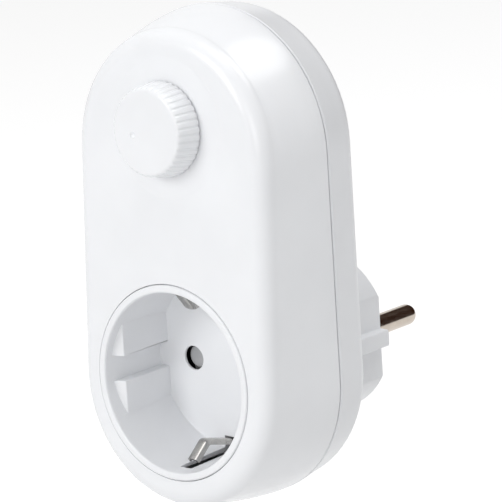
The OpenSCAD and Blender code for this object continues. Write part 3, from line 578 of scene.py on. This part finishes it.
# ---------------------------------------------------------------------------
# Contact carrier, contacts and their sleeves
# The black moulded carrier closes the insert's back. Its two towers hold the
# rolled brass sleeves that grip the pins of whatever is plugged in.
# ---------------------------------------------------------------------------
coat_node("contact_carrier", black_moulding)
pressed_brass, brass_shader = new_finish("pressed_brass", 0.3, metal=1.0)
vary_colour(pressed_brass, brass_shader, (0.62, 0.44, 0.16), (0.74, 0.55, 0.22), 2.0)
vary_rough(pressed_brass, brass_shader, 0.22, 0.42, 0.5, stretch=(1, 5, 1))
for node in ("live_contact", "neutral_contact"):
    coat_node(node, pressed_brass)

# ---------------------------------------------------------------------------
# Potentiometer
# A pressed steel can with a threaded-type bushing, a black carbon track on its
# back wall and three legs into the board.
# ---------------------------------------------------------------------------
pressed_steel, can_shader = new_finish("pressed_steel", 0.38, metal=1.0)
vary_colour(pressed_steel, can_shader, (0.42, 0.42, 0.43), (0.52, 0.52, 0.53), 2.0)
vary_rough(pressed_steel, can_shader, 0.3, 0.5, 0.7, stretch=(1, 6, 1))
coat_node("pot_housing", pressed_steel)
carbon, carbon_shader = new_finish("carbon_track", 0.6)
vary_colour(carbon, carbon_shader, (0.012, 0.012, 0.012), (0.03, 0.03, 0.03), 0.4)
coat_node("pot_track", carbon)

# ---------------------------------------------------------------------------
# Circuit board
# Tan phenolic-paper board with a faint fibre in it, held to two bosses of the
# front shell.
# ---------------------------------------------------------------------------
laminate, laminate_shader = new_finish("board_laminate", 0.45)
vary_colour(laminate, laminate_shader, (0.42, 0.28, 0.11), (0.52, 0.36, 0.15), 1.2, stretch=(0.3, 1, 3))
raise_grain(laminate, laminate_shader, 0.4, 0.006, 0.6, stretch=(0.3, 1, 3))
coat_node("circuit_board", laminate)

# ---------------------------------------------------------------------------
# Triac and heatsink
# The triac is a black epoxy block with a tinned tab; the heatsink is bent from
# mill-finish aluminium sheet with a fine rolling grain.
# ---------------------------------------------------------------------------
epoxy, epoxy_shader = new_finish("black_epoxy", 0.55)
vary_colour(epoxy, epoxy_shader, (0.016, 0.016, 0.017), (0.03, 0.03, 0.031), 0.8)
raise_grain(epoxy, epoxy_shader, 0.15, 0.01, 0.8)
coat_node("triac", epoxy)
mill_aluminium, sink_shader = new_finish("mill_aluminium", 0.34, metal=1.0)
vary_colour(mill_aluminium, sink_shader, (0.62, 0.63, 0.64), (0.72, 0.73, 0.74), 1.0, stretch=(1, 1, 0.1))
vary_rough(mill_aluminium, sink_shader, 0.26, 0.46, 0.3, stretch=(4, 1, 0.15))
coat_node("heatsink", mill_aluminium)

# ---------------------------------------------------------------------------
# Interference choke
# A grey powdered-iron ring with one layer of enamelled copper wire wound round
# it, stopping short of a full circle so that the two ends stay apart.
# ---------------------------------------------------------------------------
CHOKE_AT = (-11.6, 16.1, 41.8)
CORE_R = 9.4
CORE_BORE_R = 5.0
CORE_LIFT = 1.1
CORE_H = 7.4
COPPER_R = 0.4
TURNS = 26

iron, iron_shader = new_finish("powdered_iron", 0.6)
vary_colour(iron, iron_shader, (0.055, 0.06, 0.07), (0.09, 0.095, 0.11), 0.6)
raise_grain(iron, iron_shader, 0.2, 0.02, 0.9)
coat_node("choke_core", iron)


def winding_path():
    """Turns round the ring's rounded section, spread over five sixths of a circle."""
    gap = COPPER_R + 0.03
    x0, x1 = CORE_BORE_R - gap, CORE_R + gap
    y0, y1 = CORE_LIFT - gap, CORE_LIFT + CORE_H + gap
    loop = []
    for cx, cy, start in ((x1 - gap, y1 - gap, 0), (x0 + gap, y1 - gap, 90), (x0 + gap, y0 + gap, 180),
                          (x1 - gap, y0 + gap, 270)):
        loop += [(cx + gap * math.cos(math.radians(start + a)), cy + gap * math.sin(math.radians(start + a)))
                 for a in (0, 30, 60, 90)]
    points = []
    total = TURNS * len(loop)
    for k in range(total):
        r, depth = loop[k % len(loop)]
        a = math.radians(34 + 292 * k / total)
        x = CHOKE_AT[0] + r * math.cos(a)
        rise = CHOKE_AT[2] - r * math.sin(a)
        points.append(leaned([(x, rise)], CHOKE_AT[1] + depth)[0])
    return points


enamel, enamel_shader = new_finish("copper_enamel", 0.22, metal=1.0)
vary_colour(enamel, enamel_shader, (0.50, 0.16, 0.06), (0.62, 0.24, 0.09), 1.0)
dress(sweep("winding", winding_path(), COPPER_R, 10, Vector((0.31, 0.2, 0.93))), "choke_turns", enamel,
      "housing", "choke_winding", crease=80)

# ---------------------------------------------------------------------------
# Capacitors, resistors and diac
# A yellow boxed mains capacitor, a red dipped timing capacitor, three film
# resistors with colour bands and the small blue diac, all standing on the board.
# ---------------------------------------------------------------------------
for node, low, high in (("mains_capacitor", (0.62, 0.46, 0.04), (0.72, 0.55, 0.06)),
                        ("timing_capacitor", (0.34, 0.03, 0.02), (0.45, 0.05, 0.03))):
    coating, coating_shader = new_finish(node + "_case", 0.35)
    vary_colour(coating, coating_shader, low, high, 3.0)
    raise_grain(coating, coating_shader, 0.5, 0.01, 0.6)
    coat_node(node, coating)


def banded(name, ground, bands, pitch_mm):
    """Lacquer with colour bands that repeat along X."""
    material, shader = new_finish(name, 0.3)
    nodes, links = material.node_tree.nodes, material.node_tree.links
    place = nodes.new("ShaderNodeTexCoord")
    split = nodes.new("ShaderNodeSeparateXYZ")
    wrap = nodes.new("ShaderNodeMath")
    wrap.operation = "WRAP"
    wrap.inputs[1].default_value = pitch_mm * MM
    wrap.inputs[2].default_value = 0.0
    share = nodes.new("ShaderNodeMapRange")
    share.inputs["From Max"].default_value = pitch_mm * MM
    paint = nodes.new("ShaderNodeValToRGB")
    paint.color_ramp.interpolation = "CONSTANT"
    paint.color_ramp.elements[0].color = (*ground, 1)
    paint.color_ramp.elements[1].position = 0.99
    paint.color_ramp.elements[1].color = (*ground, 1)
    for at, colour in bands:
        paint.color_ramp.elements.new(at).color = (*colour, 1)
        paint.color_ramp.elements.new(at + 0.08).color = (*ground, 1)
    links.new(place.outputs["Object"], split.inputs["Vector"])
    links.new(split.outputs["X"], wrap.inputs[0])
    links.new(wrap.outputs["Value"], share.inputs["Value"])
    links.new(share.outputs["Result"], paint.inputs["Fac"])
    links.new(paint.outputs["Color"], shader.inputs["Base Color"])
    raise_grain(material, shader, 0.3, 0.004, 0.5)
    return material


coat_node("resistors", banded("resistor_lacquer", (0.20, 0.38, 0.50),
                              [(0.15, (0.3, 0.1, 0.03)), (0.35, (0.02, 0.02, 0.02)), (0.55, (0.5, 0.2, 0.02))], 6.1))
coat_node("diac", banded("diac_lacquer", (0.03, 0.10, 0.38), [(0.4, (0.7, 0.7, 0.7))], 6.1))

# ---------------------------------------------------------------------------
# Fuse
# A clear glass tube with nickel-plated end caps and the wire between them,
# pushed into two tinned spring clips.
# ---------------------------------------------------------------------------
glass, glass_shader = new_finish("fuse_glass", 0.04, gloss=0.5, ior=1.5)
glass_shader.inputs["Transmission Weight"].default_value = 1.0
vary_colour(glass, glass_shader, (0.92, 0.97, 0.96), (0.97, 1.0, 0.99), 4.0)
coat_node("fuse_tube", glass)
coat_node("fuse_caps", nickel)
tinned, tinned_shader = new_finish("tinned_clip", 0.35, metal=1.0)
vary_colour(tinned, tinned_shader, (0.55, 0.53, 0.48), (0.66, 0.64, 0.60), 1.0)
coat_node("fuse_clips", tinned)

# ---------------------------------------------------------------------------
# Internal wires
# Stranded wire in thin brown or black insulation, soldered to the board and
# run down to the live pin and to the live contact.
# ---------------------------------------------------------------------------
WIRE_R = 0.9
WIRES = (("live_wire", "wire_brown", (0.10, 0.035, 0.014), (0.14, 0.05, 0.02), Vector((1, 0, 0)),
          [(-13.5, -34.1, 26.4), (-13.5, -31, 26.2), (-13.2, -26, 23.5), (-11.5, -24.4, 12),
           (-10, -19, 8), (-9.5, -13.4, 6), (-9.5, -11.5, 1.5)]),
         ("load_wire", "wire_black", (0.012, 0.012, 0.013), (0.022, 0.022, 0.024), Vector((1, 0, -1)),
          [(0.6, -34.1, 26.4), (0, -31, 26.2), (-3.2, -26.4, 23.5), (-4.8, -24.4, 17.5),
           (-4.4, -22, 11), (-3.6, -18.4, 5), (-4.6, -14.8, 2), (-7.8, -14.2, 0)]))


def eased(route, steps=8):
    """Points of a smooth curve through the points of a route."""
    route = [Vector(p) for p in route]
    points = []
    for k in range(len(route) - 1):
        a, b, c, d = (route[max(0, min(len(route) - 1, k + i))] for i in (-1, 0, 1, 2))
        for i in range(steps):
            t = i / steps
            points.append(b + (c - a) * t / 2 + (2 * a - 5 * b + 4 * c - d) * t * t / 2
                          + (3 * b - a - 3 * c + d) * t * t * t / 2)
    return points + [route[-1]]


for node, slot_name, low, high, across, route in WIRES:
    insulation, insulation_shader = new_finish(node + "_insulation", 0.4)
    vary_colour(insulation, insulation_shader, low, high, 3.0)
    raise_grain(insulation, insulation_shader, 0.4, 0.005, 0.5)
    dress(sweep(node, eased(route), WIRE_R, 16, across), node + "_insulated", insulation, "housing", node,
          crease=60)

# ---------------------------------------------------------------------------
# Front shell
# Glossy white moulding with a leaning face, rounded all round, that widens
# towards the parting line. A low mound stands under the knob, and the socket
# insert fills the round opening below it.
# ---------------------------------------------------------------------------
FRONT_DRAW = 2.4
FRONT_ROUND = 4.0
KNOB_RISE = 56.5
MOUND_R = 15.5
MOUND_TOP_R = 11.0
MOUND_H = 0.5
BUSHING_HOLE_R = 3.9
SCREW_BOSS_R = 2.3
BOARD_BOSS_R = 2.4


def front_side(setback, share):
    """Outline between the end of the front's rounding and the parting line."""
    outline = oval(setback)
    return [a.lerp(b, share) for a, b in zip(leaned(outline, FRONT_ROUND), upright(outline, JOINT_Y - SEAM / 2))]


def draw_at(share):
    return FRONT_DRAW * (1 - share) ** 1.6


def front_outer(inset=0.0):
    """The shell's outside, or one drawn in by inset all over."""
    rings = []
    for k in range(13):
        a = math.radians(7.5 * k)
        rings.append(leaned(oval(FRONT_DRAW + FRONT_ROUND * (1 - math.sin(a)) + inset),
                            FRONT_ROUND * (1 - math.cos(a)) + inset))
    rings += [front_side(draw_at(k / 12) + inset, k / 12) for k in range(1, 12)]
    rings += [front_side(0.02 + inset, 0.985), front_side(0.25 + inset, 1.0)]
    return skin("front", rings)


front = front_outer()
mound_profile = [(3.0, MOUND_R + 1.6), (0.05, MOUND_R + 1.6)]
mound_profile += [(-MOUND_H * (0.5 - 0.5 * math.cos(math.pi * t)) + 0.05 * (1 - t),
                   MOUND_R + 1.2 - (MOUND_R + 1.2 - MOUND_TOP_R) * t) for t in (k / 20 for k in range(1, 21))]
mound_profile.append((-MOUND_H, MOUND_TOP_R - 1.5))
weld(front, leaned_turning("mound", mound_profile, KNOB_RISE))

hollow_rings = [leaned(oval(FRONT_DRAW + FRONT_ROUND + 0.3), WALL), leaned(oval(FRONT_DRAW + WALL + 0.6), WALL + 0.7),
                leaned(oval(FRONT_DRAW + WALL - 0.3), WALL + 1.7)]
hollow_rings += [front_side(draw_at(k / 6) + WALL, k / 6) for k in range(1, 7)]
hollow_rings.append(upright(oval(WALL), JOINT_Y + 0.5))
cut(front, skin("front_hollow", hollow_rings))
cut(front, skin("lip_seat", [upright(oval(1.2), JOINT_Y - LIP_REACH - SEAM), upright(oval(1.2), JOINT_Y + 0.5)]))
bosses = [rod(FACE_Y - 2, JOINT_Y + 0.5, SCREW_BOSS_R, x=x, z=z, steps=48) for x, z in SCREW_SPOTS]
bosses += [skin("board_boss", [leaned(circle(BOARD_BOSS_R, 48, side * 19.0, 30.0), depth) for depth in (0, 14.5)])
           for side in (-1, 1)]
for boss in bosses:
    weld(front, keep_common(boss, front_outer(WALL / 2)))
weld(front, *[rod(JOINT_Y - 1, -28.6, SCREW_BOSS_R, x=x, z=z, steps=48) for x, z in SCREW_SPOTS])
collar = rod(FACE_Y + 1.5, FACE_Y + 10, 22.7, steps=128)
weld(front, collar)
cut(front, rod(FACE_Y - 4, JOINT_Y, CUP_R + 0.15, steps=128))
cut(front, *[bar(-6, 6, FACE_Y + 3.4, FACE_Y + 11, *sorted((side * 20, side * 23.5))) for side in (-1, 1)])
cut(front, leaned_turning("ring_seat", [(-1.5, RING_R + 0.6), (-0.05, RING_R + 0.22), (0.2, RING_R + 0.1), (1.75, RING_R + 0.1)]))
cut(front, leaned_turning("bushing_hole", [(-3, BUSHING_HOLE_R), (4, BUSHING_HOLE_R)], KNOB_RISE))
cut(front, *[rod(-42, -28, 1.1, x=x, z=z, steps=24) for x, z in SCREW_SPOTS])
cut(front, *[skin("pilot", [leaned(circle(1.1, 24, side * 19.0, 30.0), depth) for depth in (7.5, 15)])
             for side in (-1, 1)])
front_white = gloss_moulding("front_white", (0.84, 0.85, 0.87), (0.86, 0.87, 0.89), 0.2, 0.26)
dress(front, "front_moulding", front_white, "housing", "front_shell")

# ---------------------------------------------------------------------------
# Knob and shaft
# Glossy white knob with forty fine flutes, a plain face and a small dimple as
# its pointer. It is pushed onto the natural-coloured plastic shaft.
# ---------------------------------------------------------------------------
KNOB_BASE = -0.8
KNOB_TOP = -6.7
KNOB_SOCKET = -5.1
KNOB_R = 10.6
KNOB_FACE_R = 9.7
FLUTES = 40
FLUTE_DEPTH = 0.2
DIMPLE_AT = (-3.8, -1.0)
DIMPLE_R = 0.9


def fluted(r, strength, steps=480):
    """A circle whose edge is hollowed by the flutes."""
    points = []
    for k in range(steps):
        a = 2 * math.pi * k / steps
        hollow = max(0.0, math.cos(FLUTES * a)) ** 0.8
        edge = r - strength * FLUTE_DEPTH * hollow
        points.append((edge * math.cos(a), KNOB_RISE + edge * math.sin(a)))
    return points


def knob_side(depth):
    return KNOB_R + (KNOB_FACE_R - KNOB_R) * (KNOB_BASE - depth) / (KNOB_BASE - KNOB_TOP)


knob_rings = [(KNOB_TOP, 4.0, 0), (KNOB_TOP, KNOB_FACE_R - 1.0, 0), (KNOB_TOP + 0.04, KNOB_FACE_R - 0.68, 0),
              (KNOB_TOP + 0.15, KNOB_FACE_R - 0.4, 0.15), (KNOB_TOP + 0.32, KNOB_FACE_R - 0.17, 0.5),
              (KNOB_TOP + 0.55, KNOB_FACE_R - 0.03, 0.85), (KNOB_TOP + 0.8, knob_side(KNOB_TOP + 0.8), 1)]
knob_rings += [(d, knob_side(d), 1) for d in (-5.0, -3.5, -2.0, KNOB_BASE - 0.3)]
knob_rings += [(KNOB_BASE - 0.05, KNOB_R - 0.12, 1), (KNOB_BASE, KNOB_R - 0.35, 1), (KNOB_BASE, 8.1, 0), (KNOB_SOCKET, 7.9, 0),
               (KNOB_SOCKET, 5.0, 0), (KNOB_BASE, 5.0, 0), (KNOB_BASE, 3.3, 0), (KNOB_BASE - 0.3, 3.02, 0),
               (KNOB_SOCKET, 3.02, 0)]
knob = skin("knob", [leaned(fluted(r, strength), depth) for depth, r, strength in knob_rings])
dimple_centre = leaned([(DIMPLE_AT[0], KNOB_RISE + DIMPLE_AT[1])], KNOB_TOP - DIMPLE_R / 2)[0]
dimple_profile = [(DIMPLE_R * math.cos(math.radians(a)), DIMPLE_R * math.sin(math.radians(a)))
                  for a in range(4, 180, 8)]
dimple = skin("dimple", [[dimple_centre + Vector((x, y, z)) for x, z in circle(r, 32)] for y, r in dimple_profile])
cut(knob, dimple)
knob_white = gloss_moulding("knob_white", (0.84, 0.85, 0.87), (0.86, 0.87, 0.89), 0.21, 0.265)
dress(knob, "knob_moulding", knob_white, "knob", "knob", crease=40)

shaft_plastic, shaft_shader = new_finish("natural_plastic", 0.4)
vary_colour(shaft_plastic, shaft_shader, (0.62, 0.61, 0.55), (0.68, 0.67, 0.61), 2.0)
raise_grain(shaft_plastic, shaft_shader, 0.4, 0.006, 0.6)
coat_node("pot_shaft", shaft_plastic)

# ---------------------------------------------------------------------------
# Floor, light and camera
# A plain pale floor below the object, an even pale surround, one broad lamp
# from the upper left of the front and a softer one from above.
# ---------------------------------------------------------------------------
SURROUND = 0.45
KEY_WATTS = 5.3
TOP_WATTS = 2.0
SIDE_WATTS = 2.5
BACK_WATTS = 4.4
FLOOR_Z = -0.085

floor_mesh = bpy.data.meshes.new("floor")
floor_mesh.from_pydata([(-20, -20, FLOOR_Z), (20, -20, FLOOR_Z), (20, 20, FLOOR_Z), (-20, 20, FLOOR_Z)], [],
                       [(0, 1, 2, 3)])
floor = bpy.data.objects.new("floor", floor_mesh)
bpy.context.scene.collection.objects.link(floor)
pale = bpy.data.materials.new("pale_floor")
pale.use_nodes = True
pale_nodes, pale_links = pale.node_tree.nodes, pale.node_tree.links
pale_nodes.remove(pale_nodes["Principled BSDF"])
matt = pale_nodes.new("ShaderNodeBsdfDiffuse")
matt.inputs["Color"].default_value = (0.8, 0.8, 0.8, 1)
lift = pale_nodes.new("ShaderNodeEmission")
lift.inputs["Color"].default_value = (1, 1, 1, 1)
seen = pale_nodes.new("ShaderNodeLightPath")
either = pale_nodes.new("ShaderNodeMath")
either.operation = "MAXIMUM"
amount = pale_nodes.new("ShaderNodeMath")
amount.operation = "MULTIPLY"
amount.inputs[1].default_value = 0.4
both = pale_nodes.new("ShaderNodeAddShader")
pale_links.new(seen.outputs["Is Camera Ray"], either.inputs[0])
pale_links.new(seen.outputs["Is Glossy Ray"], either.inputs[1])
pale_links.new(either.outputs[0], amount.inputs[0])
pale_links.new(amount.outputs[0], lift.inputs["Strength"])
pale_links.new(matt.outputs[0], both.inputs[0])
pale_links.new(lift.outputs[0], both.inputs[1])
pale_links.new(both.outputs[0], pale_nodes["Material Output"].inputs["Surface"])
floor_mesh.materials.append(pale)

world = bpy.data.worlds.new("surround")
bpy.context.scene.world = world
world.use_nodes = True
sky_nodes, sky_links = world.node_tree.nodes, world.node_tree.links
backdrop = sky_nodes["Background"]
backdrop.inputs["Color"].default_value = (1, 1, 1, 1)
rays = sky_nodes.new("ShaderNodeLightPath")
camera_or_gloss = sky_nodes.new("ShaderNodeMath")
camera_or_gloss.operation = "MAXIMUM"
or_glass = sky_nodes.new("ShaderNodeMath")
or_glass.operation = "MAXIMUM"
level = sky_nodes.new("ShaderNodeMapRange")
level.inputs["To Min"].default_value = SURROUND
level.inputs["To Max"].default_value = 1.0
sky_links.new(rays.outputs["Is Camera Ray"], camera_or_gloss.inputs[0])
sky_links.new(rays.outputs["Is Glossy Ray"], camera_or_gloss.inputs[1])
sky_links.new(camera_or_gloss.outputs[0], or_glass.inputs[0])
sky_links.new(rays.outputs["Is Transmission Ray"], or_glass.inputs[1])
sky_links.new(or_glass.outputs[0], level.inputs["Value"])
sky_links.new(level.outputs["Result"], backdrop.inputs["Strength"])


def lamp(name, at, towards, size, watts):
    light = bpy.data.lights.new(name, "AREA")
    light.shape = "DISK"
    light.size = size
    light.energy = watts
    holder = bpy.data.objects.new(name, light)
    holder.location = at
    holder.rotation_mode = "QUATERNION"
    holder.rotation_quaternion = (Vector(towards) - Vector(at)).to_track_quat("-Z", "Y")
    bpy.context.scene.collection.objects.link(holder)


lamp("key", (-0.35, -1.2, 0.55), (0, -0.04, 0.025), 0.6, KEY_WATTS)
lamp("side", (0.55, -1.15, 0.35), (0, -0.04, 0.025), 0.6, SIDE_WATTS)
lamp("top", (0.05, -0.25, 1.1), (0, -0.04, 0.025), 0.7, TOP_WATTS)
lamp("back", (0.35, 0.35, 1.1), (0, -0.04, 0.025), 0.7, BACK_WATTS)

# A brown-black sheet behind the object that only glossy rays see: it paints a dark reflection into the polished pins
# and the glossy plastic.
card_mesh = bpy.data.meshes.new("painted_reflection_card")
card_mesh.from_pydata([(-0.6, 1.0, -0.08), (1.2, 1.0, -0.08), (1.2, 1.0, 1.3), (-0.6, 1.0, 1.3)], [], [(0, 1, 2, 3)])
card = bpy.data.objects.new("painted_reflection_card", card_mesh)
bpy.context.scene.collection.objects.link(card)
card.visible_camera = False
card.visible_diffuse = False
card.visible_transmission = False
card.visible_shadow = False
black, painted_reflection_shader = new_finish("painted_reflection_black", 0.9, gloss=0.0)
painted_reflection_shader.inputs["Base Color"].default_value = (0.045, 0.014, 0.003, 1)
card_mesh.materials.append(black)

AZIMUTH = math.radians(42.17)
ELEVATION = math.radians(14.3)
ROLL = math.radians(-3.59)
DISTANCE = 0.93
back = Vector((math.sin(AZIMUTH) * math.cos(ELEVATION), -math.cos(AZIMUTH) * math.cos(ELEVATION),
               math.sin(ELEVATION)))
level_right = Vector((math.cos(AZIMUTH), math.sin(AZIMUTH), 0))
level_up = back.cross(level_right)
right = level_right * math.cos(ROLL) + level_up * math.sin(ROLL)
up = level_up * math.cos(ROLL) - level_right * math.sin(ROLL)
lens = bpy.data.cameras.new("camera")
lens.sensor_width = 36.0
lens.lens = 313.7
lens.clip_start = 0.05
lens.clip_end = 60.0
camera = bpy.data.objects.new("camera", lens)
camera.matrix_world = Matrix((
    (right.x, up.x, back.x, 0.02548 + back.x * DISTANCE),
    (right.y, up.y, back.y, -0.052 + back.y * DISTANCE),
    (right.z, up.z, back.z, 0.03297 + back.z * DISTANCE),
    (0, 0, 0, 1)))
bpy.context.scene.collection.objects.link(camera)
bpy.context.scene.camera = camera
bpy.context.scene.view_settings.view_transform = "Standard"
